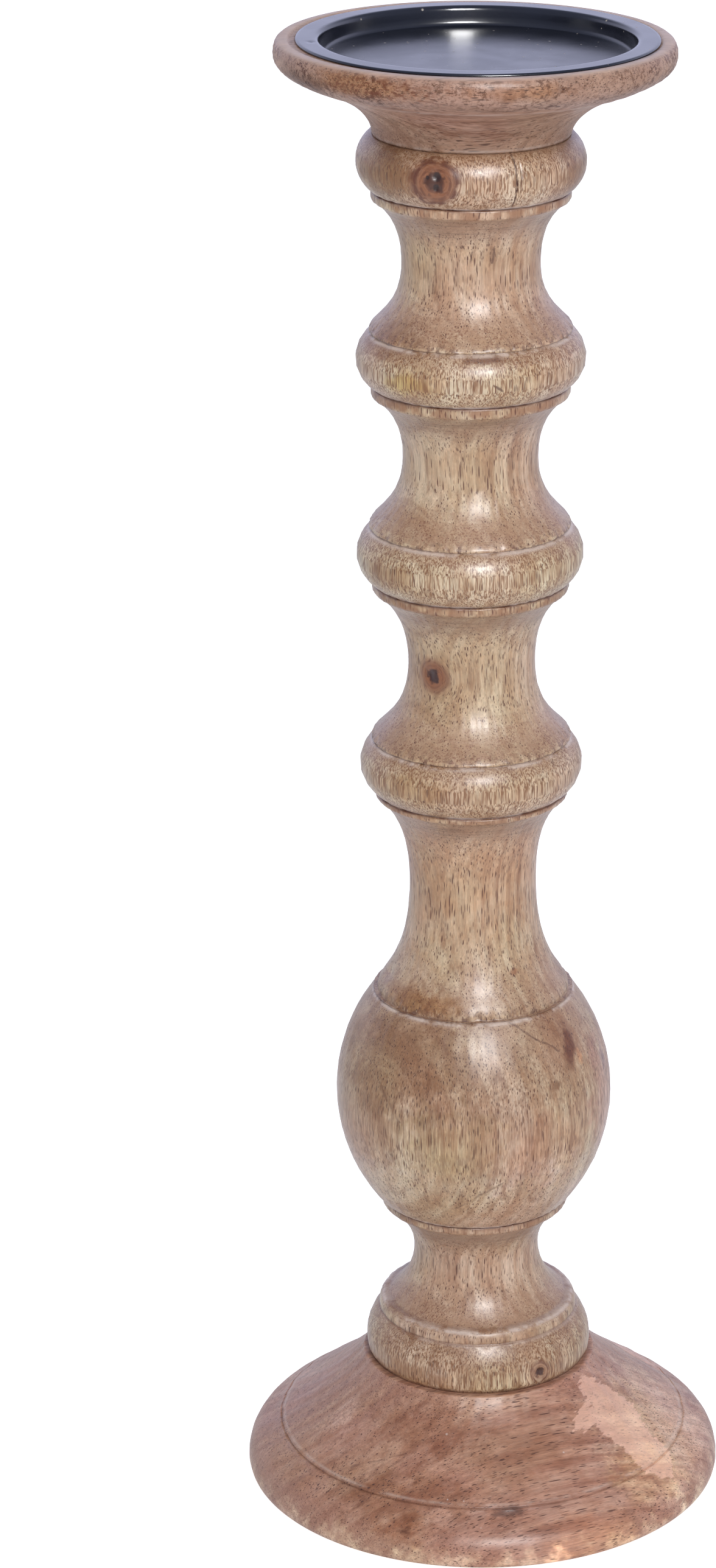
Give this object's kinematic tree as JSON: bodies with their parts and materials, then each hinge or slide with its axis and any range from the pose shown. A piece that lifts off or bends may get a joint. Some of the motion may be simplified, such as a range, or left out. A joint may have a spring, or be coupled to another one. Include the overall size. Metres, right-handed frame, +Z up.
{
  "type": "pillar candle holder",
  "caption": "Turned wooden candle holder: a beaded column on a low conical base carries a round dish with a loose, shallow metal drip pan for a pillar candle.",
  "frame": {"origin": "on the table, under the centre of the base", "axes": "+Z up along the column's turning axis; -Y faces the viewer; +X to the viewer's right"},
  "size_m": [0.1302, 0.1302, 0.4],
  "materials": {
    "column_wood": "semi-gloss clear lacquer on yellow-tan turned hardwood",
    "dish_wood": "semi-gloss clear lacquer on brown turned hardwood",
    "base_wood": "semi-gloss clear lacquer on red-brown turned hardwood with pale sapwood",
    "pan_steel": "satin black powder coat on pressed sheet steel",
    "screw_steel": "bright zinc plate",
    "felt": "pressed dark felt"
  },
  "bodies": {
    "stand": {"base": "base_wood", "column": "column_wood", "dish": "dish_wood", "dish_washer": "screw_steel", "dish_screw": "screw_steel", "base_washer": "screw_steel", "base_screw": "screw_steel", "felt_pad_1": "felt", "felt_pad_2": "felt", "felt_pad_3": "felt", "felt_pad_4": "felt"},
    "pan": {"drip_pan": "pan_steel"}
  },
  "joints": [
    {"name": "pan_lift", "type": "slide", "parent": "stand", "child": "pan", "axis": [0, 0, 1], "range_m": [0, 0.03]}
  ]
}
